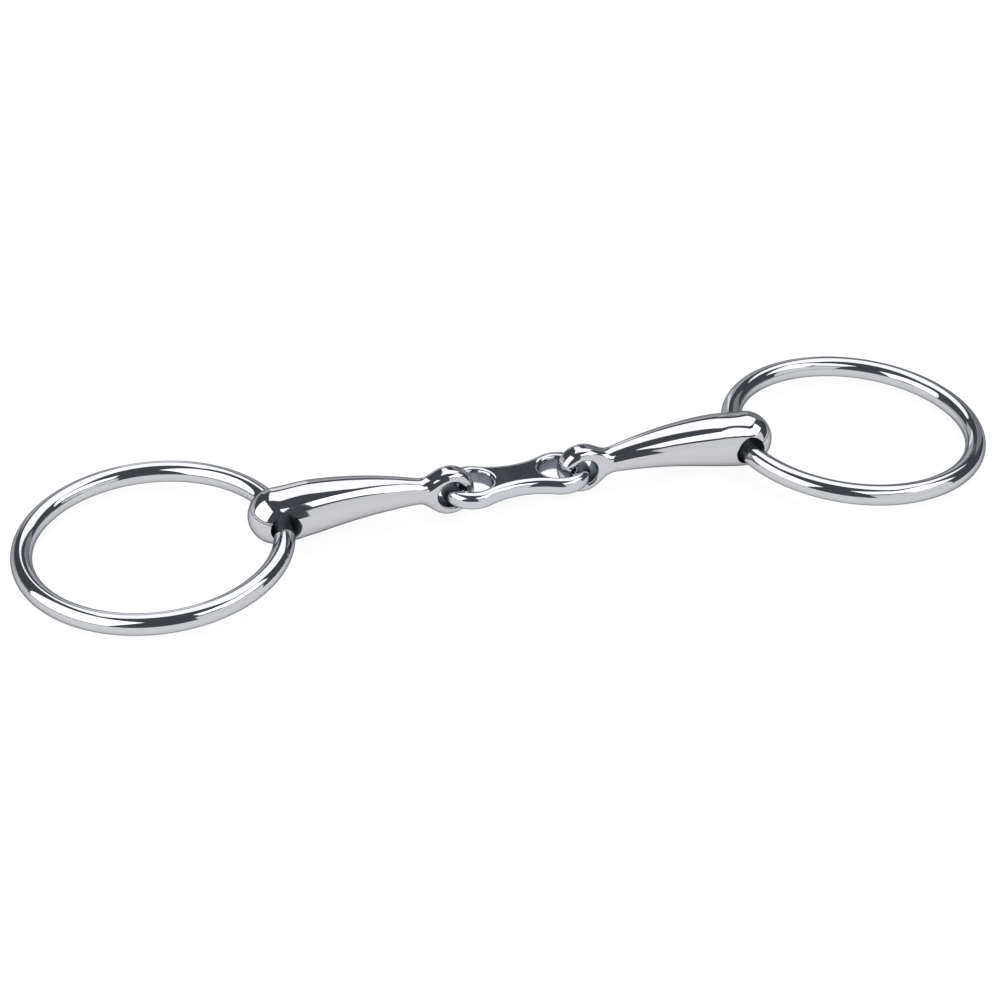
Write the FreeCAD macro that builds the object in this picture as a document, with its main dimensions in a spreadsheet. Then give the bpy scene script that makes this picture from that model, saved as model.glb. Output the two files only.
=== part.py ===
import FreeCAD, Part

import math
import os

import Sketcher

# Loose-ring snaffle bit with a double-jointed mouthpiece, laid out straight on a table.
# It has five loose pieces: a middle link plate, two arms that hang on the plate's end bars,
# and two rings that run through the arms' outer ends. All of them are solid stainless steel.
# The frame: millimetres, +Z up, origin on the table under the middle of the link plate,
# X along the mouthpiece, Y along the hinge axes. Each piece is made where it rests.

SIZES = {
    # Rings: round wire, bent and welded. The wire lies low in its bore and a little inboard,
    # so that its curve shares the play between the middle and the mouths of the bore.
    "ring_radius": 34.6,
    "wire_radius": 2.9,
    "wire_drop": 1.05,
    "wire_inset": 0.2,
    # Arm, outer end: a domed end with the ring's bore across it.
    "bore_reach": 66.35,
    "bore_radius": 4.2,
    "bore_straight": 5.75,
    "dome_reach": 67.3,
    "dome_radius": 7.6,
    "end_radius": 7.5,
    # Arm, shank: round sections, each with its reach from the middle, radius and height.
    "shoulder_reach": 58.0,
    "shoulder_radius": 7.4,
    "shoulder_height": 8.55,
    "swell_reach": 50.0,
    "swell_radius": 6.5,
    "swell_height": 9.1,
    "middle_reach": 42.0,
    "middle_radius": 5.5,
    "middle_height": 9.15,
    "throat_reach": 34.0,
    "throat_radius": 4.45,
    "throat_height": 8.65,
    "root_reach": 29.0,
    "root_radius": 3.8,
    "root_height": 8.05,
    "tail_reach": 24.5,
    "tail_radius": 2.9,
    "tail_height": 7.3,
    # Arm, inner end: a flat eye that narrows into the shank.
    "eye_reach": 19.05,
    "eye_radius": 6.75,
    "eye_width": 6.6,
    "eye_edge": 1.9,
    "eye_hole_radius": 3.8,
    "eye_rim": 0.9,
    "neck_reach": 28.5,
    "neck_radius": 3.5,
    "neck_height": 7.95,
    "neck_sweep": 7.0,
    # Link: a flat plate with a waist and a round hole near each end.
    "plate_reach": 21.1,
    "plate_end_radius": 8.5,
    "plate_sweep": 21.25,
    "plate_thickness": 4.8,
    "plate_drop": 0.6,
    "plate_edge": 2.1,
    "plate_hole_reach": 11.9,
    "plate_hole_radius": 5.0,
    "plate_rim": 1.2,
}
SHANK_SECTIONS = ("tail", "root", "throat", "middle", "swell", "shoulder")

PLATE_HEIGHT = "sizes.eye_radius - sizes.plate_drop"
PLATE_END_REACH = "sizes.plate_reach - sizes.plate_end_radius"
WIRE_REACH = "(sizes.bore_reach - sizes.wire_inset)"
WIRE_HEIGHT = "(sizes.dome_radius - sizes.wire_drop)"
RING_TILT = f"asin(({WIRE_HEIGHT} - sizes.wire_radius) / (2 * sizes.ring_radius))"
RING_REACH = f"sizes.ring_radius * cos({RING_TILT})"

UP = FreeCAD.Vector(0, 0, 1)
ACROSS = FreeCAD.Vector(0, 1, 0)
# Sketcher's numbers for a sketch's axes and origin, and for the points of a curve.
SKETCH_X_AXIS = -1
SKETCH_Y_AXIS = -2
SKETCH_ORIGIN = (-1, 1)
CURVE_START = 1
CURVE_END = 2
CENTRE = 3


def make_sheet(doc):
    """The spreadsheet that holds every driving size under its own alias."""
    sheet = doc.addObject("Spreadsheet::Sheet", "sizes")
    for row, (name, value) in enumerate(SIZES.items(), start=1):
        sheet.set(f"A{row}", name)
        sheet.set(f"B{row}", str(value))
        sheet.setAlias(f"B{row}", name)
    doc.recompute()


def new_sketch(body, name, role, offset):
    """A sketch on one of the body's origin planes, moved along that plane's own axes by expressions."""
    sketch = body.newObject("Sketcher::SketchObject", name)
    plane = next(item for item in body.Origin.OriginFeatures if item.Role == role)
    sketch.AttachmentSupport = [(plane, "")]
    sketch.MapMode = "FlatFace"
    for axis, expression in offset.items():
        sketch.setExpression(f"AttachmentOffset.Base.{axis}", expression)
    return sketch


def value_of(sketch, expression):
    """The value of an expression of the sheet's cells, as a starting value for a sketch's geometry."""
    return float(sketch.evalExpression(expression))


def bind(sketch, kind, where, expression):
    """One dimension of a sketch, bound to an expression."""
    constraint = Sketcher.Constraint(kind, *where, value_of(sketch, expression))
    index = sketch.addConstraint(constraint)
    sketch.setExpression(f"Constraints[{index}]", expression)


def fix_centre(sketch, curve, x, y):
    """Binds a circle's or an arc's centre to two expressions, where "0" means on the sketch's axis."""
    for kind, axis, expression in (("DistanceX", SKETCH_Y_AXIS, x), ("DistanceY", SKETCH_X_AXIS, y)):
        if expression == "0":
            sketch.addConstraint(Sketcher.Constraint("PointOnObject", curve, CENTRE, axis))
        else:
            bind(sketch, kind, (*SKETCH_ORIGIN, curve, CENTRE), expression)


def add_circle(sketch, x, y, radius):
    """A circle whose centre and radius are bound to expressions."""
    centre = FreeCAD.Vector(value_of(sketch, x), value_of(sketch, y), 0)
    circle = sketch.addGeometry(Part.Circle(centre, UP, value_of(sketch, radius)))
    fix_centre(sketch, circle, x, y)
    bind(sketch, "Radius", (circle,), radius)


def add_polygon(sketch, corners):
    """A closed outline of straight lines whose corners, (x, y), are bound to expressions."""
    points = [FreeCAD.Vector(value_of(sketch, x), value_of(sketch, y), 0) for x, y in corners]
    lines = [
        sketch.addGeometry(Part.LineSegment(point, points[(index + 1) % len(points)]))
        for index, point in enumerate(points)
    ]
    for index, line in enumerate(lines):
        following = lines[(index + 1) % len(lines)]
        sketch.addConstraint(Sketcher.Constraint("Coincident", line, CURVE_END, following, CURVE_START))
    for line, (x, y) in zip(lines, corners):
        bind(sketch, "DistanceX", (*SKETCH_ORIGIN, line, CURVE_START), x)
        if y == "0":
            sketch.addConstraint(Sketcher.Constraint("PointOnObject", line, CURVE_START, SKETCH_X_AXIS))
        else:
            bind(sketch, "DistanceY", (*SKETCH_ORIGIN, line, CURVE_START), y)


def add_waisted_outline(sketch, near, far, sweep):
    """Two round ends joined by two hollow arcs that run smoothly into both.

    near and far are (x, y, radius) of the ends and sweep is the hollow arcs' radius, all as expressions.
    """
    near_radius, far_radius, sweep_radius = (value_of(sketch, text) for text in (near[2], far[2], sweep))
    near_centre = FreeCAD.Vector(value_of(sketch, near[0]), value_of(sketch, near[1]), 0)
    far_centre = FreeCAD.Vector(value_of(sketch, far[0]), value_of(sketch, far[1]), 0)
    line = far_centre - near_centre
    to_near = near_radius + sweep_radius
    to_far = far_radius + sweep_radius
    along = (to_near**2 - to_far**2 + line.Length**2) / (2 * line.Length)
    aside = math.sqrt(to_near**2 - along**2)
    direction = FreeCAD.Vector(line).normalize()
    left = UP.cross(direction)
    upper_centre = near_centre + direction * along + left * aside
    lower_centre = near_centre + direction * along - left * aside

    def arc_about(centre, radius, first, last):
        """The arc about a centre that runs anticlockwise from the first point to the last."""
        start, end = (math.atan2(point.y - centre.y, point.x - centre.x) for point in (first, last))
        if end < start:
            end += 2 * math.pi
        return sketch.addGeometry(Part.ArcOfCircle(Part.Circle(centre, UP, radius), start, end))

    def touch(centre, radius, other):
        """The point of a round end that lies towards a hollow arc's centre."""
        return centre + (other - centre).normalize() * radius

    near_upper = touch(near_centre, near_radius, upper_centre)
    near_lower = touch(near_centre, near_radius, lower_centre)
    far_upper = touch(far_centre, far_radius, upper_centre)
    far_lower = touch(far_centre, far_radius, lower_centre)
    near_arc = arc_about(near_centre, near_radius, near_upper, near_lower)
    far_arc = arc_about(far_centre, far_radius, far_lower, far_upper)
    upper_arc = arc_about(upper_centre, sweep_radius, near_upper, far_upper)
    lower_arc = arc_about(lower_centre, sweep_radius, far_lower, near_lower)
    for first, first_point, second, second_point in (
        (near_arc, CURVE_START, upper_arc, CURVE_START),
        (upper_arc, CURVE_END, far_arc, CURVE_END),
        (far_arc, CURVE_START, lower_arc, CURVE_START),
        (lower_arc, CURVE_END, near_arc, CURVE_END),
    ):
        sketch.addConstraint(Sketcher.Constraint("Tangent", first, first_point, second, second_point))
    fix_centre(sketch, near_arc, near[0], near[1])
    fix_centre(sketch, far_arc, far[0], far[1])
    for arc, radius in ((near_arc, near[2]), (far_arc, far[2]), (upper_arc, sweep), (lower_arc, sweep)):
        bind(sketch, "Radius", (arc,), radius)


def pad(body, sketch, thickness):
    """A pad of a sketch, half of it on each side of the sketch's plane."""
    feature = body.newObject("PartDesign::Pad", f"{sketch.Name}_pad")
    feature.Profile = sketch
    feature.SideType = "Symmetric"
    feature.setExpression("Length", thickness)
    body.Document.recompute()
    return feature


def cut_through(body, sketch):
    """A hole of a sketch's outline, right through the body on both sides of the sketch's plane."""
    before = body.Shape.Volume
    feature = body.newObject("PartDesign::Pocket", f"{sketch.Name}_cut")
    feature.Profile = sketch
    feature.SideType = "Symmetric"
    feature.Type = "ThroughAll"
    body.Document.recompute()
    if feature.Shape.Volume >= before:
        raise ValueError(f"{feature.Name} cuts nothing")
    return feature


def groove_about_x(body, sketch):
    """A full turn of a sketch's outline about the sketch's own X axis, cut from the body."""
    before = body.Shape.Volume
    feature = body.newObject("PartDesign::Groove", f"{sketch.Name}_cut")
    feature.Profile = sketch
    feature.ReferenceAxis = (sketch, ["H_Axis"])
    feature.Angle = 360
    body.Document.recompute()
    if feature.Shape.Volume >= before:
        raise ValueError(f"{feature.Name} cuts nothing")


def round_edges(body, base, name, chosen, radius):
    """A fillet on those edges of a feature that the test chooses."""
    edges = [f"Edge{number}" for number, edge in enumerate(base.Shape.Edges, start=1) if chosen(edge)]
    feature = body.newObject("PartDesign::Fillet", name)
    feature.Base = (base, edges)
    feature.setExpression("Radius", radius)
    body.Document.recompute()
    return feature


def lies_flat(axis):
    """A test for edges that lie at one level of an axis, such as the outline of a pad's two faces."""
    return lambda edge: getattr(edge.BoundBox, f"{axis}Length") < 0.001


def is_hole_rim(axis, radius):
    """A test for the flat round rims of a hole of that radius."""
    flat = lies_flat(axis)
    return lambda edge: flat(edge) and abs(getattr(edge.Curve, "Radius", 0) - radius) < 0.001


def build_link(doc):
    """The middle link: a waisted plate whose eyes' end bars carry the arms."""
    body = doc.addObject("PartDesign::Body", "french_link")
    outline = new_sketch(body, "plate_outline", "XY_Plane", {"z": PLATE_HEIGHT})
    near = (f"-({PLATE_END_REACH})", "0", "sizes.plate_end_radius")
    far = (PLATE_END_REACH, "0", "sizes.plate_end_radius")
    add_waisted_outline(outline, near, far, "sizes.plate_sweep")
    plate = pad(body, outline, "sizes.plate_thickness")
    round_edges(body, plate, "plate_edges", lies_flat("Z"), "sizes.plate_edge")
    holes = new_sketch(body, "plate_holes", "XY_Plane", {"z": PLATE_HEIGHT})
    for x in ("-sizes.plate_hole_reach", "sizes.plate_hole_reach"):
        add_circle(holes, x, "0", "sizes.plate_hole_radius")
    pierced = cut_through(body, holes)
    rims = is_hole_rim("Z", SIZES["plate_hole_radius"])
    round_edges(body, pierced, "plate_rims", rims, "sizes.plate_rim")
    return body


def build_arm(doc, name, turn):
    """One arm of the mouthpiece, made on the +X side and turned about Z into its place."""
    body = doc.addObject("PartDesign::Body", name)

    outline = new_sketch(body, f"{name}_eye", "XZ_Plane", {})
    eye_end = ("sizes.eye_reach", "sizes.eye_radius", "sizes.eye_radius")
    neck_end = ("sizes.neck_reach", "sizes.neck_height", "sizes.neck_radius")
    add_waisted_outline(outline, eye_end, neck_end, "sizes.neck_sweep")
    blade = pad(body, outline, "sizes.eye_width")
    round_edges(body, blade, f"{name}_eye_edges", lies_flat("Y"), "sizes.eye_edge")
    hole = new_sketch(body, f"{name}_eye_hole", "XZ_Plane", {})
    add_circle(hole, "sizes.eye_reach", "sizes.eye_radius", "sizes.eye_hole_radius")
    pierced = cut_through(body, hole)
    rims = is_hole_rim("Y", SIZES["eye_hole_radius"])
    round_edges(body, pierced, f"{name}_eye_rims", rims, "sizes.eye_rim")

    sections = []
    for part in SHANK_SECTIONS:
        section = new_sketch(body, f"{name}_{part}", "YZ_Plane", {"z": f"sizes.{part}_reach"})
        add_circle(section, "0", f"sizes.{part}_height", f"sizes.{part}_radius")
        sections.append(section)
    last = new_sketch(body, f"{name}_end", "YZ_Plane", {"z": "sizes.dome_reach"})
    add_circle(last, "0", "sizes.dome_radius", "sizes.end_radius")
    sections.append(last)
    doc.recompute()
    shank = body.newObject("PartDesign::AdditiveLoft", f"{name}_shank")
    shank.Profile = sections[0]
    shank.Sections = sections[1:]
    doc.recompute()

    dome = body.newObject("PartDesign::AdditiveSphere", f"{name}_dome")
    dome.setExpression("Radius", "sizes.dome_radius")
    dome.setExpression("Placement.Base.x", "sizes.dome_reach")
    dome.setExpression("Placement.Base.z", "sizes.dome_radius")
    doc.recompute()

    bore = new_sketch(body, f"{name}_bore", "YZ_Plane", {"y": "sizes.dome_radius", "z": "sizes.bore_reach"})
    beyond = "sizes.bore_straight + sizes.bore_radius"
    half_profile = (
        ("sizes.bore_straight", "sizes.bore_radius"),
        (beyond, "2 * sizes.bore_radius"),
        (beyond, "0"),
    )
    mirrored = tuple((f"-({x})", y) for x, y in reversed(half_profile))
    add_polygon(bore, half_profile + mirrored)
    groove_about_x(body, bore)
    body.Placement = FreeCAD.Placement(FreeCAD.Vector(), FreeCAD.Rotation(UP, turn))
    return body


def build_ring(doc, name, side):
    """One ring, resting in its arm's bore and on the table; side is 1 for +X and -1 for -X."""
    ring = doc.addObject("Part::Torus", name)
    ring.setExpression("Radius1", "sizes.ring_radius")
    ring.setExpression("Radius2", "sizes.wire_radius")
    ring.Placement = FreeCAD.Placement(FreeCAD.Vector(), FreeCAD.Rotation(ACROSS, 1))
    ring.setExpression("Placement.Rotation.Angle", f"{side} * {RING_TILT}")
    ring.setExpression("Placement.Base.x", f"{side} * ({WIRE_REACH} + {RING_REACH})")
    ring.setExpression("Placement.Base.z", f"({WIRE_HEIGHT} + sizes.wire_radius) / 2")
    return ring


def check(doc, pieces):
    """Stops if any object has failed or any piece's shape is missing or broken."""
    for item in doc.Objects:
        if "Invalid" in item.State or "Error" in item.State:
            raise ValueError(f"{item.Name}: {item.State}")
    for piece in pieces:
        if piece.Shape.isNull() or not piece.Shape.isValid() or len(piece.Shape.Solids) != 1:
            raise ValueError(f"{piece.Label} is not one valid solid")


def main():
    doc = FreeCAD.newDocument("snaffle_bit")
    make_sheet(doc)
    pieces = [
        build_link(doc),
        build_arm(doc, "left_arm", 180),
        build_arm(doc, "right_arm", 0),
        build_ring(doc, "left_ring", -1),
        build_ring(doc, "right_ring", 1),
    ]
    doc.recompute()
    check(doc, pieces)
    os.makedirs("parts", exist_ok=True)
    for piece in pieces:
        piece.Label = piece.Name
        piece.Shape.exportStep(f"parts/{piece.Label}.step")


main()
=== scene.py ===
"""Looks of a loose-ring snaffle bit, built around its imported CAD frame.

The bit is laid out straight on a pale table: a flat middle link, two tapered arms and two round rings,
all in mirror-polished stainless steel. Lengths are in metres, and sizes given in millimetres end in _mm.
"""

import logging
import math
from dataclasses import dataclass
from enum import Enum
from typing import Callable, Sequence

import bmesh
import bpy
from mathutils import Matrix, Vector


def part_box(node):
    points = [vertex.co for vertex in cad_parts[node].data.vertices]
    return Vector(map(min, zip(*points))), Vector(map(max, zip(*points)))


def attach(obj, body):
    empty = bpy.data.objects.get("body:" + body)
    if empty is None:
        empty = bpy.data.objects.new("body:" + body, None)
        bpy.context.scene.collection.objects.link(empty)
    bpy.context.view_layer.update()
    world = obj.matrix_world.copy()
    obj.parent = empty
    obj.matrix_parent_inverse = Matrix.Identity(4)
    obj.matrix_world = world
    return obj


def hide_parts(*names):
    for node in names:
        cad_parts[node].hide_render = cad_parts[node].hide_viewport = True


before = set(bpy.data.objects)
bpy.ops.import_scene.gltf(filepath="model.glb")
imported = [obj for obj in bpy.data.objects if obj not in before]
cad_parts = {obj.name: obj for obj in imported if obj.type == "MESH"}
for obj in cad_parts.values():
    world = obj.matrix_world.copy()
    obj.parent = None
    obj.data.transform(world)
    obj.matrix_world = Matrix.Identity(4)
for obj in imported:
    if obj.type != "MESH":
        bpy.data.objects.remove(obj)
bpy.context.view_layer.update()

MM = 0.001
FULL_TURN = 2 * math.pi
# Points closer together than this, in metres, are one point.
MERGE_DISTANCE = 1e-7
# Halvings of the search for a surface, which leave an error of well under a micrometre.
SEARCH_STEPS = 26
# A face with a normal at least this upright is flat.
FLAT_NORMAL = 0.9999
WHITE = (1.0, 1.0, 1.0, 1.0)
log = logging.getLogger("snaffle_bit")


class Side(Enum):
    """The two ends of the bit, as the sign of X."""

    LEFT = -1
    RIGHT = 1


# ---------------------------------------------------------------------------------------------------
# Finishes
# ---------------------------------------------------------------------------------------------------


def srgb_to_linear(hex_colour: str) -> tuple[float, float, float, float]:
    """Turns an sRGB colour into Blender's linear one.

    Args:
        hex_colour: six hex digits, such as "c9cacc".

    Returns:
        Linear red, green and blue, and an alpha of 1.
    """
    channels = [int(hex_colour[start:start + 2], 16) / 255 for start in (0, 2, 4)]
    linear = [c / 12.92 if c <= 0.04045 else ((c + 0.055) / 1.055) ** 2.4 for c in channels]
    return (linear[0], linear[1], linear[2], 1.0)


def add_node(tree: bpy.types.NodeTree, kind: str, settings: dict | None = None,
             links: dict[str, bpy.types.NodeSocket] | None = None) -> bpy.types.Node:
    """Adds one node to a tree.

    Args:
        tree: the node tree.
        kind: the node's type name.
        settings: values by name, set on the node's property of that name or else on its input.
        links: the outputs that feed its inputs, by input name.

    Returns:
        The new node.
    """
    node = tree.nodes.new(kind)
    for name, value in (settings or {}).items():
        if hasattr(node, name):
            setattr(node, name, value)
        else:
            node.inputs[name].default_value = value
    for name, output in (links or {}).items():
        tree.links.new(output, node.inputs[name])
    return node


@dataclass(frozen=True)
class SteelFinish:
    """Austenitic stainless steel under one kind of polish.

    roughness is that of the clean polish and smudge_roughness that of the cloudy patches, smudge_mm across,
    where the buff ran lighter. grain_mm is the spacing of the buffing marks or pits, which are grain_stretch
    times longer along X, and grain_depth_mm is their depth. Real marks are too fine to show, so these are
    coarser. edge_tint darkens the last few degrees towards a silhouette. A patch starts where the cloud
    noise passes smudge_start and is full at smudge_full, and the two details are the noises' octaves.
    """

    name: str
    colour: str
    roughness: float
    smudge_roughness: float
    smudge_mm: float
    grain_mm: float
    grain_stretch: float
    grain_depth_mm: float
    edge_tint: str
    smudge_start: float = 0.35
    smudge_full: float = 0.75
    smudge_detail: float = 3.0
    grain_detail: float = 2.0

    def material(self) -> bpy.types.Material:
        """Builds the finish as a node material, or finds it if another piece has it already.

        Returns:
            The material.
        """
        if self.name in bpy.data.materials:
            return bpy.data.materials[self.name]
        material = bpy.data.materials.new(self.name)
        material.use_nodes = True
        tree = material.node_tree
        tree.nodes.clear()
        place = add_node(tree, "ShaderNodeTexCoord")
        smudge = add_node(tree, "ShaderNodeTexNoise",
                          {"Scale": 1 / (self.smudge_mm * MM), "Detail": self.smudge_detail},
                          {"Vector": place.outputs["Object"]})
        roughness = add_node(tree, "ShaderNodeMapRange",
                             {"From Min": self.smudge_start, "From Max": self.smudge_full,
                              "To Min": self.roughness, "To Max": self.smudge_roughness},
                             {"Value": smudge.outputs["Fac"]})
        stretched = add_node(tree, "ShaderNodeMapping", {"Scale": (1 / self.grain_stretch, 1.0, 1.0)},
                             {"Vector": place.outputs["Object"]})
        grain = add_node(tree, "ShaderNodeTexNoise",
                         {"Scale": 1 / (self.grain_mm * MM), "Detail": self.grain_detail},
                         {"Vector": stretched.outputs["Vector"]})
        relief = add_node(tree, "ShaderNodeBump",
                          {"Strength": 1.0, "Distance": self.grain_depth_mm * MM},
                          {"Height": grain.outputs["Fac"]})
        shader = add_node(tree, "ShaderNodeBsdfPrincipled",
                          {"Base Color": srgb_to_linear(self.colour), "Metallic": 1.0,
                           "Specular Tint": srgb_to_linear(self.edge_tint)},
                          {"Roughness": roughness.outputs["Result"], "Normal": relief.outputs["Normal"]})
        add_node(tree, "ShaderNodeOutputMaterial", links={"Surface": shader.outputs["BSDF"]})
        return material


class Finish(Enum):
    """The finishes, one for each way that a surface is made."""

    # Drawn round bar, mirror-polished: the evenest finish.
    RING = SteelFinish(
        name="polished_stainless_bar", colour="c3c4c7",
        roughness=0.035, smudge_roughness=0.075,
        smudge_mm=9.0, grain_mm=0.35, grain_stretch=1.0, grain_depth_mm=0.0004, edge_tint="85888c")
    # Investment casting, buffed to a mirror along its length.
    ARM = SteelFinish(
        name="polished_stainless_casting", colour="c4c4c7",
        roughness=0.04, smudge_roughness=0.08,
        smudge_mm=7.0, grain_mm=0.3, grain_stretch=6.0, grain_depth_mm=0.0005, edge_tint="85888c")
    # Stamped plate, mirror-polished: its flat faces show the buff a little more.
    LINK = SteelFinish(
        name="polished_stainless_plate", colour="c3c5c9",
        roughness=0.05, smudge_roughness=0.11,
        smudge_mm=5.0, grain_mm=0.25, grain_stretch=3.0, grain_depth_mm=0.0006, edge_tint="85888c")
    # The walls of the eyes' and the link's holes, which the buff doesn't reach: dull and finely pitted, and
    # darker than the polish, which is painted shade for the inside of the holes.
    EYE_WALL_PAINTED_SHADE = SteelFinish(
        name="cast_stainless_eye_wall_painted_shade", colour="8b8f95",
        roughness=0.34, smudge_roughness=0.52,
        smudge_mm=1.5, grain_mm=0.4, grain_stretch=1.0, grain_depth_mm=0.012, edge_tint="8b8f95")
    # The ring's bore: reamed, so a little brighter, but hardly any light gets in.
    BORE_WALL = SteelFinish(
        name="reamed_stainless_bore", colour="cdd1d6",
        roughness=0.4, smudge_roughness=0.6,
        smudge_mm=1.5, grain_mm=0.4, grain_stretch=1.0, grain_depth_mm=0.01, edge_tint="cdd1d6")


# ---------------------------------------------------------------------------------------------------
# Mesh helpers
# ---------------------------------------------------------------------------------------------------


def finished_piece(name: str, mesh_data: bmesh.types.BMesh,
                   finish: Finish | None = None) -> bpy.types.Object:
    """Turns a bmesh into a smooth-shaded object that sits at the origin.

    Args:
        name: the piece's name.
        mesh_data: the finished bmesh, in metres and in place. It is freed.
        finish: the finish it gets, if any.

    Returns:
        The object, linked into the scene.
    """
    bmesh.ops.recalc_face_normals(mesh_data, faces=mesh_data.faces)
    mesh = bpy.data.meshes.new(name)
    mesh_data.to_mesh(mesh)
    mesh_data.free()
    mesh.shade_smooth()
    piece = bpy.data.objects.new(name, mesh)
    bpy.context.scene.collection.objects.link(piece)
    if finish is not None:
        mesh.materials.append(finish.value.material())
    return piece


@dataclass
class RoundHole:
    """A hole right through a piece, with a rounded mouth at each side and a drilled wall.

    depth_mm is half the thickness of the piece there, and rim_mm the radius of the mouths. On a curved
    piece, surface tells that half thickness for each point of the mouth instead, from its offsets in X and Z
    from the centre. The cutter stands out of the piece by overrun_mm. wall_tilt is how much of a wall
    face's normal may lie along the axis, and wall_into_rim the share of rim_mm that still counts as wall.
    """

    centre_mm: tuple[float, float, float]
    axis: Vector
    radius_mm: float
    depth_mm: float
    rim_mm: float
    # The eye walls' finish is darker, as painted shade for the inside of the holes.
    wall: Finish = Finish.EYE_WALL_PAINTED_SHADE
    surface: Callable[[float, float], float] | None = None
    rim_steps: int = 10
    around: int = 120
    overrun_mm: float = 4.0
    wall_tilt: float = 0.35
    wall_into_rim: float = 0.12

    def cutter(self) -> bpy.types.Object:
        """Spins the hole's outline about its axis into a closed cutter.

        Returns:
            The cutter, as an object of its own that cut_holes removes again.
        """
        mouth = []
        for step in range(self.rim_steps + 1):
            angle = math.pi / 2 * step / self.rim_steps
            mouth.append((self.radius_mm + self.rim_mm * (1 - math.cos(angle)),
                          self.depth_mm - self.rim_mm * (1 - math.sin(angle))))
        mouth.append((self.radius_mm + self.rim_mm, self.depth_mm + self.overrun_mm))
        mouth.append((0.0, self.depth_mm + self.overrun_mm))
        outline = [(radius, -depth) for radius, depth in reversed(mouth)] + mouth
        spool = bmesh.new()
        corners = [spool.verts.new((radius * MM, 0, depth * MM)) for radius, depth in outline]
        edges = [spool.edges.new(pair) for pair in zip(corners, corners[1:])]
        bmesh.ops.spin(spool, geom=corners + edges, cent=(0, 0, 0), axis=(0, 0, 1),
                       angle=FULL_TURN, steps=self.around, use_merge=True)
        bmesh.ops.remove_doubles(spool, verts=spool.verts, dist=MERGE_DISTANCE)
        turn = Vector((0, 0, 1)).rotation_difference(self.axis).to_matrix().to_4x4()
        bmesh.ops.transform(spool, matrix=turn, verts=spool.verts)
        if self.surface is not None:
            self.fit_mouths(spool)
        bmesh.ops.translate(spool, vec=Vector(self.centre_mm) * MM, verts=spool.verts)
        return finished_piece("cutter", spool)

    def fit_mouths(self, spool: bmesh.types.BMesh) -> None:
        """Moves each point of the two mouths in or out, so that they follow a curved surface.

        Args:
            spool: the cutter, with its axis along Y and its centre at the origin.
        """
        mouth_radius = self.radius_mm + self.rim_mm
        for vert in spool.verts:
            reach = math.hypot(vert.co.x, vert.co.z)
            on_axis = reach < self.radius_mm / 2 * MM
            if not on_axis:
                depth = self.surface(vert.co.x / reach * mouth_radius, vert.co.z / reach * mouth_radius)
                vert.co.y += math.copysign(depth - self.depth_mm, vert.co.y) * MM

    def holds_wall(self, face: bpy.types.MeshPolygon) -> bool:
        """Tells whether a face of the cut piece is part of this hole's drilled wall.

        Args:
            face: a face of the piece.

        Returns:
            True if it is part of the wall.
        """
        offset = face.center - Vector(self.centre_mm) * MM
        reach = (offset - offset.project(self.axis)).length
        square = abs(face.normal.dot(self.axis)) < self.wall_tilt
        return square and reach < (self.radius_mm + self.wall_into_rim * self.rim_mm) * MM


def cut_holes(piece: bpy.types.Object, holes: Sequence[RoundHole]) -> None:
    """Cuts round holes through a piece and gives their walls their own finish.

    Args:
        piece: the solid piece, which has one finish so far.
        holes: the holes to cut.
    """
    for hole in holes:
        cutter = hole.cutter()
        modifier = piece.modifiers.new("hole", "BOOLEAN")
        modifier.operation = "DIFFERENCE"
        modifier.solver = "EXACT"
        modifier.object = cutter
        bpy.context.view_layer.update()
        evaluated = piece.evaluated_get(bpy.context.evaluated_depsgraph_get())
        cut = bpy.data.meshes.new_from_object(evaluated)
        piece.modifiers.clear()
        old = piece.data
        piece.data = cut
        bpy.data.meshes.remove(old)
        bpy.data.meshes.remove(cutter.data)
    for slot, wall in enumerate(dict.fromkeys(hole.wall for hole in holes), start=1):
        piece.data.materials.append(wall.value.material())
        for face in piece.data.polygons:
            if any(hole.holds_wall(face) for hole in holes if hole.wall is wall):
                face.material_index = slot


def smooth_through(points: Sequence[tuple[float, float]], place: float) -> float:
    """A smooth curve through a few points, level at its last one.

    Args:
        points: (place, value) pairs in rising order of place.
        place: where to read the curve; past either end it keeps the end's value.

    Returns:
        The curve's value there.
    """
    if place <= points[0][0]:
        return points[0][1]
    if place >= points[-1][0]:
        return points[-1][1]
    slopes = []
    for index in range(len(points)):
        before = points[max(index - 1, 0)]
        after = points[min(index + 1, len(points) - 1)]
        slopes.append((after[1] - before[1]) / (after[0] - before[0]))
    slopes[-1] = 0.0
    index = max(i for i in range(len(points) - 1) if points[i][0] <= place)
    (x0, y0), (x1, y1) = points[index], points[index + 1]
    span = x1 - x0
    t = (place - x0) / span
    return ((2 * t**3 - 3 * t**2 + 1) * y0 + (t**3 - 2 * t**2 + t) * span * slopes[index]
            + (3 * t**2 - 2 * t**3) * y1 + (t**3 - t**2) * span * slopes[index + 1])


def ease(start: float, end: float, place: float) -> float:
    """Rises smoothly from 0 at start to 1 at end."""
    t = min(max((place - start) / (end - start), 0.0), 1.0)
    return t * t * (3 - 2 * t)


def soft_union(first: float, second: float, blend: float) -> float:
    """The smaller of two distances, with a hollow fillet of about the blend's size where they meet."""
    overlap = max(blend - abs(first - second), 0.0) / blend
    return min(first, second) - overlap * overlap * blend / 4


# ---------------------------------------------------------------------------------------------------
# Pieces
# ---------------------------------------------------------------------------------------------------


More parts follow.
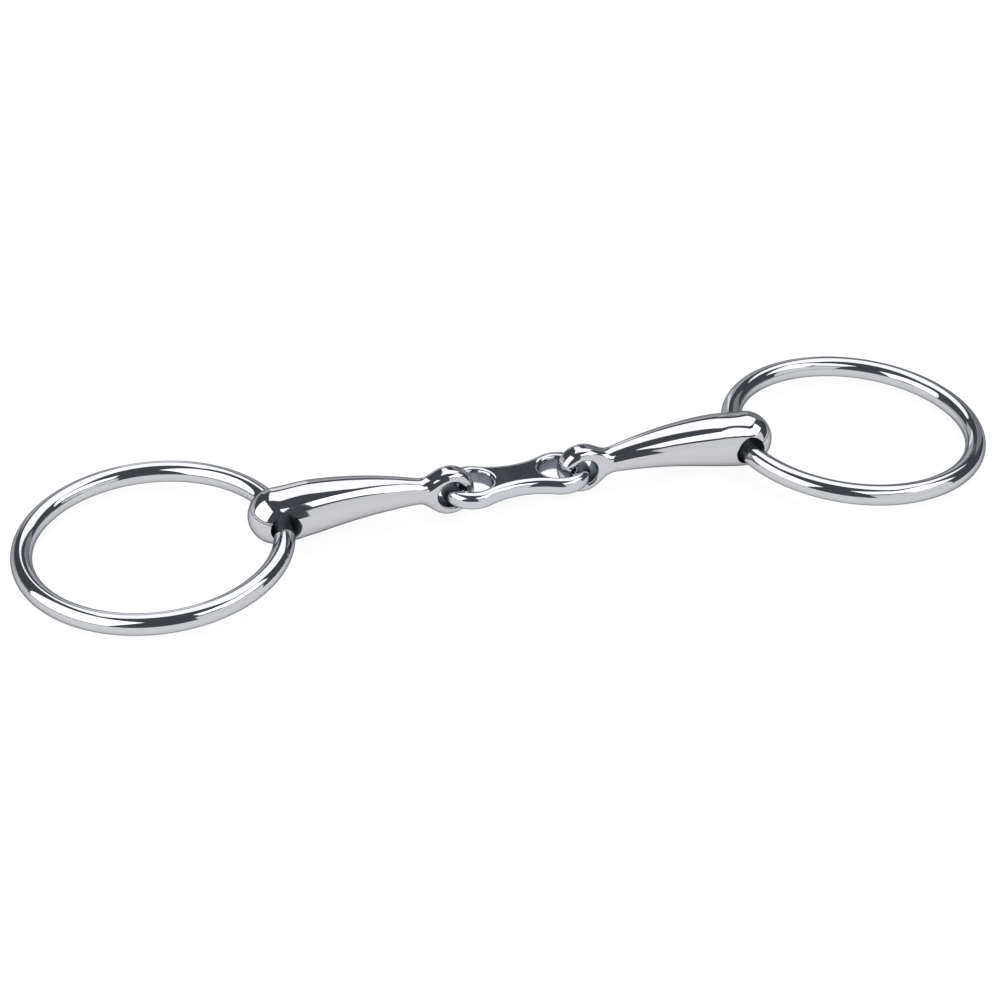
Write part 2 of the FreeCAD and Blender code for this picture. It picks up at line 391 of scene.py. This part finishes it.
@dataclass
class LooseRing:
    """One round ring of bent and welded bar, which leans from its bore down to the table."""

    side: Side
    wire_mm: float = 2.9
    around_ring: int = 240
    around_wire: int = 40

    @property
    def node(self) -> str:
        """The CAD node and body that this ring stands for."""
        return f"{self.side.name.lower()}_ring"

    def build(self) -> bpy.types.Object:
        """Spins the wire's circle round the ring and lays it where the CAD ring lies.

        Returns:
            The ring's object.
        """
        low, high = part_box(self.node)
        wire = self.wire_mm * MM
        ring_radius = (high.y - low.y) / 2 - wire
        lean = math.asin((high.z - low.z - 2 * wire) / (2 * ring_radius)) * self.side.value
        ring = bmesh.new()
        upright = Matrix.Translation((ring_radius, 0, 0)) @ Matrix.Rotation(math.pi / 2, 4, "X")
        bmesh.ops.create_circle(ring, segments=self.around_wire, radius=wire, matrix=upright)
        bmesh.ops.spin(ring, geom=ring.verts[:] + ring.edges[:], cent=(0, 0, 0), axis=(0, 0, 1),
                       angle=FULL_TURN, steps=self.around_ring, use_merge=True)
        place = Matrix.Translation((low + high) / 2) @ Matrix.Rotation(lean, 4, "Y")
        bmesh.ops.transform(ring, matrix=place, verts=ring.verts)
        piece = finished_piece(f"{self.node}_bar", ring, Finish.RING)
        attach(piece, self.node)
        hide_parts(self.node)
        return piece


@dataclass
class MouthArm:
    """One tapered arm: a flat eye round the link's end bar, a neck, and a swelling shank with a domed end.

    Every size here is in millimetres, in the right-hand arm's place, and the surface is where form() is
    zero. A reach is a distance from the middle of the bit along X.
    Edges that turn by more than sharp_degrees, such as the rims of the holes, are shaded sharp.
    """

    side: Side
    eye_radius: float = 6.75
    eye_half_width: float = 3.3
    eye_edge: float = 2.4
    eye_hole_radius: float = 3.8
    eye_rim: float = 0.9
    dome_radius: float = 7.6
    bore_inboard: float = 0.95
    bore_radius: float = 4.2
    bore_rim: float = 0.45
    neck_start: float = 21.0
    neck_end: float = 29.0
    fillet: float = 3.2
    around: int = 96
    step_mm: float = 0.7
    eye_steps: int = 26
    dome_steps: int = 18
    cap_mm: float = 0.004
    sharp_degrees: float = 24.0

    def __post_init__(self) -> None:
        """Reads the arm's two ends from the frame."""
        low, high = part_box("right_arm")
        self.inner_end = low.x / MM
        self.outer_end = high.x / MM
        self.eye_reach = self.inner_end + self.eye_radius
        self.dome_reach = self.outer_end - self.dome_radius
        self.bore_reach = self.dome_reach - self.bore_inboard
        shank = (
            # reach, radius, height of the middle
            (self.neck_start, 3.3, 7.0),
            (26.0, 3.45, 7.6),
            (29.0, 3.75, 8.05),
            (34.0, 4.45, 8.65),
            (42.0, 5.5, 9.15),
            (50.0, 6.5, 9.1),
            (58.0, 7.35, 8.55),
            (self.dome_reach, self.dome_radius, self.dome_radius),
        )
        self.radii = [(reach, radius) for reach, radius, _ in shank]
        self.heights = [(reach, height) for reach, _, height in shank]

    @property
    def node(self) -> str:
        """The CAD node and body that this arm stands for."""
        return f"{self.side.name.lower()}_arm"

    def shank_radius(self, x: float) -> float:
        """The shank's radius, which closes over the dome.

        Args:
            x: the reach of the section.

        Returns:
            The radius there.
        """
        past = x - self.dome_reach
        if past > 0:
            return math.sqrt(max(self.dome_radius**2 - past**2, 0.0))
        return smooth_through(self.radii, x)

    def middle(self, x: float) -> float:
        """The height of the section's middle at a reach."""
        to_shank = ease(self.neck_start, self.neck_end, x)
        return (1 - to_shank) * self.eye_radius + to_shank * smooth_through(self.heights, x)

    def form(self, x: float, y: float, z: float) -> float:
        """Tells where a point lies: under zero inside the arm, over zero outside it.

        The eye and the shank are one side outline, joined with a fillet, and rounded across their width:
        by the eye's edge radius there, and fully on the shank.

        Args:
            x: the point's reach.
            y: its distance from the arm's middle plane.
            z: its height.

        Returns:
            About the distance from the surface, with that sign.
        """
        eye = math.hypot(x - self.eye_reach, z - self.eye_radius) - self.eye_radius
        radius = self.shank_radius(x)
        start = math.hypot(min(x - self.neck_start, 0.0), z - smooth_through(self.heights, x)) - radius
        outline = soft_union(eye, start, self.fillet)
        to_shank = ease(self.neck_start, self.neck_end, x)
        half_width = (1 - to_shank) * self.eye_half_width + to_shank * radius
        edge = (1 - to_shank) * self.eye_edge + to_shank * radius
        inward = outline + edge
        sideways = abs(y) - (half_width - edge)
        return math.hypot(max(inward, 0.0), max(sideways, 0.0)) + min(max(inward, sideways), 0.0) - edge

    def way_out(self, path: Callable[[float], tuple[float, float, float]]) -> float:
        """Searches a straight path that starts inside the arm for the place where it comes out.

        Args:
            path: the point at a given distance along the path.

        Returns:
            The distance at which the path meets the surface.
        """
        inside, outside = 0.0, 2 * self.dome_radius
        for _ in range(SEARCH_STEPS):
            guess = (inside + outside) / 2
            if self.form(*path(guess)) < 0:
                inside = guess
            else:
                outside = guess
        return inside

    def surface_distance(self, x: float, angle: float) -> float:
        """How far the surface is from the section's middle in one direction across the arm."""
        middle = self.middle(x)
        return self.way_out(lambda out: (x, out * math.cos(angle), middle + out * math.sin(angle)))

    def depth_beside_bore(self, along: float, up: float) -> float:
        """How far the surface is from the arm's middle plane, at an offset from the bore's centre."""
        return self.way_out(lambda out: (self.bore_reach + along, out, self.dome_radius + up))

    def stations(self) -> list[float]:
        """Spaces the sections, closer together where the two ends close.

        Returns:
            The reach of each section, from the eye to the dome.
        """
        eye = [self.eye_reach - self.eye_radius * math.cos(math.pi / 2 * step / self.eye_steps)
               for step in range(1, self.eye_steps + 1)]
        dome = [self.dome_reach + self.dome_radius * math.sin(math.pi / 2 * step / self.dome_steps)
                for step in range(self.dome_steps)]
        length = self.dome_reach - self.eye_reach
        count = math.ceil(length / self.step_mm)
        shank = [self.eye_reach + length * step / count for step in range(1, count)]
        return [self.inner_end + self.cap_mm, *eye, *shank, *dome, self.outer_end - self.cap_mm]

    def build(self) -> bpy.types.Object:
        """Extrudes one ring of edges from section to section, caps both ends and cuts the two holes.

        Returns:
            The arm's object.
        """
        arm = bmesh.new()
        first = bmesh.ops.create_circle(arm, segments=self.around, radius=MM)
        ring_verts = sorted(first["verts"], key=lambda vert: math.atan2(vert.co.y, vert.co.x))
        angles = [math.atan2(vert.co.y, vert.co.x) for vert in ring_verts]
        ring_edges = arm.edges[:]
        for number, x in enumerate(self.stations()):
            if number:
                grown = bmesh.ops.extrude_edge_only(arm, edges=ring_edges)["geom"]
                ring_edges = [item for item in grown if isinstance(item, bmesh.types.BMEdge)]
                near = {tuple(vert.co): vert for vert in grown if isinstance(vert, bmesh.types.BMVert)}
                ring_verts = [near[tuple(vert.co)] for vert in ring_verts]
            else:
                bmesh.ops.contextual_create(arm, geom=ring_edges)
            middle = self.middle(x)
            for vert, angle in zip(ring_verts, angles):
                reach = self.surface_distance(x, angle)
                vert.co = Vector((x, reach * math.cos(angle), middle + reach * math.sin(angle))) * MM
        bmesh.ops.contextual_create(arm, geom=ring_edges)
        piece = finished_piece(f"{self.node}_casting", arm, Finish.ARM)
        across = Vector((0, 1, 0))
        cut_holes(piece, (
            RoundHole((self.eye_reach, 0, self.eye_radius), across, self.eye_hole_radius,
                      self.eye_half_width, self.eye_rim),
            RoundHole((self.bore_reach, 0, self.dome_radius), across, self.bore_radius,
                      self.dome_radius, self.bore_rim, Finish.BORE_WALL, self.depth_beside_bore),
        ))
        if self.side is Side.LEFT:
            piece.data.transform(Matrix.Rotation(math.pi, 4, "Z"))
        piece.data.shade_smooth()
        piece.data.set_sharp_from_angle(angle=math.radians(self.sharp_degrees))
        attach(piece, self.node)
        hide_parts(self.node)
        return piece


@dataclass
class FrenchLink:
    """The flat middle link: a waisted plate with rounded edges and a round hole near each end."""

    node: str = "french_link"
    sweep_mm: float = 21.25
    edge_mm: float = 2.1
    hole_reach_mm: float = 11.9
    hole_radius_mm: float = 5.0
    rim_mm: float = 1.2
    end_steps: int = 72
    waist_steps: int = 24
    edge_steps: int = 10

    def draw_outline(self, plate: bmesh.types.BMesh, end_radius: float, end_reach: float,
                     floor: float) -> None:
        """Draws the plate's outline and fills it: two round ends joined by two hollow arcs.

        One point is spun about the three centres of the right half, and the left half is that one turned
        round.

        Args:
            plate: the empty bmesh.
            end_radius: the radius of the round ends, in metres.
            end_reach: how far the round ends' centres are from the middle, in metres.
            floor: the height of the plate's underside, in metres.
        """
        sweep = self.sweep_mm * MM
        hollow_reach = math.sqrt((end_radius + sweep)**2 - end_reach**2)
        spread = math.asin(end_reach / (end_radius + sweep))
        last = [plate.verts.new((0, sweep - hollow_reach, floor))]
        for centre, angle, steps in (
            ((0, -hollow_reach, floor), -spread, self.waist_steps),
            ((end_reach, 0, floor), math.pi + 2 * spread, self.end_steps),
            ((0, hollow_reach, floor), -spread, self.waist_steps),
        ):
            last = bmesh.ops.spin(plate, geom=last, cent=centre, axis=(0, 0, 1), angle=angle,
                                  steps=steps)["geom_last"]
        other = bmesh.ops.duplicate(plate, geom=plate.verts[:] + plate.edges[:])["geom"]
        turned = [item for item in other if isinstance(item, bmesh.types.BMVert)]
        bmesh.ops.rotate(plate, verts=turned, cent=(0, 0, 0), matrix=Matrix.Rotation(math.pi, 3, "Z"))
        bmesh.ops.remove_doubles(plate, verts=plate.verts, dist=MERGE_DISTANCE)
        bmesh.ops.contextual_create(plate, geom=plate.edges[:])

    def build(self) -> bpy.types.Object:
        """Extrudes the outline, rounds its edges and cuts the two holes.

        Returns:
            The link's object.
        """
        low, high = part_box(self.node)
        thickness = high.z - low.z
        height_mm = (low.z + high.z) / 2 / MM
        end_radius = (high.y - low.y) / 2
        plate = bmesh.new()
        self.draw_outline(plate, end_radius, high.x - end_radius, low.z)
        top = bmesh.ops.extrude_face_region(plate, geom=plate.faces[:])["geom"]
        raised = [item for item in top if isinstance(item, bmesh.types.BMVert)]
        bmesh.ops.translate(plate, verts=raised, vec=(0, 0, thickness))
        bmesh.ops.recalc_face_normals(plate, faces=plate.faces)
        rims = [edge for edge in plate.edges
                if abs(edge.verts[0].co.z - edge.verts[1].co.z) < MERGE_DISTANCE]
        bmesh.ops.bevel(plate, geom=rims, offset=self.edge_mm * MM, offset_type="OFFSET", affect="EDGES",
                        segments=self.edge_steps, profile=0.5, material=-1, clamp_overlap=False)
        piece = finished_piece("french_link_plate", plate, Finish.LINK)
        half_thickness = thickness / 2 / MM
        cut_holes(piece, [
            RoundHole((reach, 0, height_mm), Vector((0, 0, 1)), self.hole_radius_mm, half_thickness,
                      self.rim_mm)
            for reach in (-self.hole_reach_mm, self.hole_reach_mm)
        ])
        piece.data.shade_smooth()
        self.keep_faces_flat(piece)
        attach(piece, "link")
        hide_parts(self.node)
        return piece

    @staticmethod
    def keep_faces_flat(piece: bpy.types.Object) -> None:
        """Marks the border of the plate's two flat faces, so that the rounding doesn't bend their shine.

        Args:
            piece: the plate.
        """
        flat = bmesh.new()
        flat.from_mesh(piece.data)
        for edge in flat.edges:
            level = [abs(face.normal.z) > FLAT_NORMAL for face in edge.link_faces]
            edge.smooth = len(set(level)) == 1
        flat.to_mesh(piece.data)
        flat.free()


# ---------------------------------------------------------------------------------------------------
# Studio
# ---------------------------------------------------------------------------------------------------


@dataclass(frozen=True)
class Softbox:
    """A soft light that faces the bit. Its place and spread are angles as seen from the bit.

    azimuth is measured from +Y towards +X, so 0 is behind the bit, 90 on its right and 180 in front.
    """

    name: str
    azimuth: float
    elevation: float
    width_degrees: float
    height_degrees: float
    radiance: float
    tint: str = "ffffff"
    distance: float = 2.2

    def build(self) -> None:
        """Adds the area light, with the power that gives its face the wanted radiance."""
        azimuth, elevation = math.radians(self.azimuth), math.radians(self.elevation)
        away = Vector((math.sin(azimuth) * math.cos(elevation),
                       math.cos(azimuth) * math.cos(elevation),
                       math.sin(elevation)))
        width = 2 * self.distance * math.tan(math.radians(self.width_degrees) / 2)
        height = 2 * self.distance * math.tan(math.radians(self.height_degrees) / 2)
        light = bpy.data.lights.new(self.name, "AREA")
        light.shape = "RECTANGLE"
        light.size = width
        light.size_y = height
        light.color = srgb_to_linear(self.tint)[:3]
        light.energy = self.radiance * math.pi * width * height
        holder = bpy.data.objects.new(self.name, light)
        facing = away.to_track_quat("Z", "Y").to_matrix().to_4x4()
        holder.matrix_world = Matrix.Translation(away * self.distance) @ facing
        holder.visible_camera = False
        bpy.context.scene.collection.objects.link(holder)


@dataclass(frozen=True)
class Studio:
    """A pale, faintly lit table under a dark ceiling with soft lights between.

    ceiling is how bright the dark surroundings are and pale how bright the background in view is.
    """

    table_radius: float = 6.0
    table_sides: int = 96
    table_glow: float = 0.86
    table_colour: str = "7c7c7e"
    table_roughness: float = 0.9
    ceiling: float = 0.1
    ceiling_tint: tuple[float, float, float, float] = (0.88, 0.97, 1.08, 1.0)
    pale: float = 0.95
    softboxes: tuple[Softbox, ...] = (
        # name, azimuth, elevation, width and height in degrees, radiance
        Softbox("near_front_light", 156.8, 47.0, 27.4, 22.0, 2.0, distance=0.55),
        Softbox("near_grey_card", 142.0, 15.5, 62.0, 29.0, 0.93, distance=0.55),
        Softbox("far_front_light", 118.0, 45.0, 41.0, 27.0, 2.0),
        Softbox("overhead_light", 27.3, 61.1, 54.0, 48.0, 1.7, tint="fffefe"),
        Softbox("left_light", -97.0, 30.0, 64.4, 52.0, 2.0, distance=0.6),
        Softbox("back_sweep", 8.0, 12.0, 40.0, 24.0, 0.7),
        Softbox("back_stripe", 6.5, 13.0, 6.0, 26.0, 0.9),
        Softbox("back_right_wall", 43.0, 14.0, 30.0, 28.0, 0.3),
        Softbox("back_left_wall", -36.0, 5.0, 48.0, 10.0, 0.55),
    )

    def build(self) -> None:
        """Makes the table, the lights and the dark surroundings."""
        self.make_table()
        for softbox in self.softboxes:
            softbox.build()
        self.make_surroundings()

    def make_table(self) -> None:
        """Makes a round pale table top that glows, as a light table does, so that shadows stay faint."""
        table = bmesh.new()
        bmesh.ops.create_circle(table, cap_ends=True, segments=self.table_sides, radius=self.table_radius)
        top = finished_piece("table", table)
        material = bpy.data.materials.new("white_acrylic_table")
        material.use_nodes = True
        tree = material.node_tree
        tree.nodes.clear()
        shader = add_node(tree, "ShaderNodeBsdfPrincipled",
                          {"Base Color": srgb_to_linear(self.table_colour),
                           "Roughness": self.table_roughness,
                           "Specular IOR Level": 0.0, "Emission Color": WHITE,
                           "Emission Strength": self.table_glow})
        add_node(tree, "ShaderNodeOutputMaterial", links={"Surface": shader.outputs["BSDF"]})
        top.data.materials.append(material)

    def make_surroundings(self) -> None:
        """Makes the world: dark for the steel to mirror, pale where the background itself is in view."""
        world = bpy.data.worlds.new("studio")
        world.use_nodes = True
        tree = world.node_tree
        tree.nodes.clear()
        dark = add_node(tree, "ShaderNodeBackground",
                        {"Color": self.ceiling_tint, "Strength": self.ceiling})
        pale = add_node(tree, "ShaderNodeBackground", {"Color": WHITE, "Strength": self.pale})
        path = add_node(tree, "ShaderNodeLightPath")
        mix = add_node(tree, "ShaderNodeMixShader", links={"Fac": path.outputs["Is Camera Ray"]})
        unseen, seen = mix.inputs[1:3]
        tree.links.new(dark.outputs["Background"], unseen)
        tree.links.new(pale.outputs["Background"], seen)
        add_node(tree, "ShaderNodeOutputWorld", links={"Surface": mix.outputs["Shader"]})
        bpy.context.scene.world = world
        bpy.context.scene.view_settings.view_transform = "Standard"


@dataclass(frozen=True)
class Viewpoint:
    """The camera: a long lens that looks down at the bit from its front left.

    azimuth is measured from -Y towards +X. distance and nearest are in metres, and the angles in degrees.
    """

    azimuth: float = -19.32
    elevation: float = 33.78
    roll: float = 1.5
    distance: float = 0.7856
    lens_mm: float = 104.5
    sensor_mm: float = 36.0
    nearest: float = 0.01
    target_mm: tuple[float, float, float] = (-6.4, -5.9, 4.7)

    def build(self) -> None:
        """Adds the camera and makes it the scene's own."""
        azimuth, elevation, roll = (math.radians(a) for a in (self.azimuth, self.elevation, self.roll))
        ahead = Vector((-math.sin(azimuth) * math.cos(elevation),
                        math.cos(azimuth) * math.cos(elevation),
                        -math.sin(elevation)))
        level = ahead.cross(Vector((0, 0, 1))).normalized()
        rise = level.cross(ahead)
        right = level * math.cos(roll) + rise * math.sin(roll)
        up = rise * math.cos(roll) - level * math.sin(roll)
        camera = bpy.data.cameras.new("camera")
        camera.lens = self.lens_mm
        camera.sensor_width = self.sensor_mm
        camera.clip_start = self.nearest
        holder = bpy.data.objects.new("camera", camera)
        place = Vector(self.target_mm) * MM - ahead * self.distance
        holder.matrix_world = Matrix.Translation(place) @ Matrix((right, up, -ahead)).transposed().to_4x4()
        bpy.context.scene.collection.objects.link(holder)
        bpy.context.scene.camera = holder


def main() -> None:
    """Builds the view, the studio and every piece, and logs how many faces each piece has."""
    logging.basicConfig(level=logging.INFO, format="%(name)s: %(message)s")
    Viewpoint().build()
    Studio().build()
    makers: list[Callable[[], bpy.types.Object]] = [FrenchLink().build]
    for side in Side:
        makers += [MouthArm(side).build, LooseRing(side).build]
    for make in makers:
        piece = make()
        log.info("%s: %d faces", piece.name, len(piece.data.polygons))


if __name__ == "__main__":
    main()
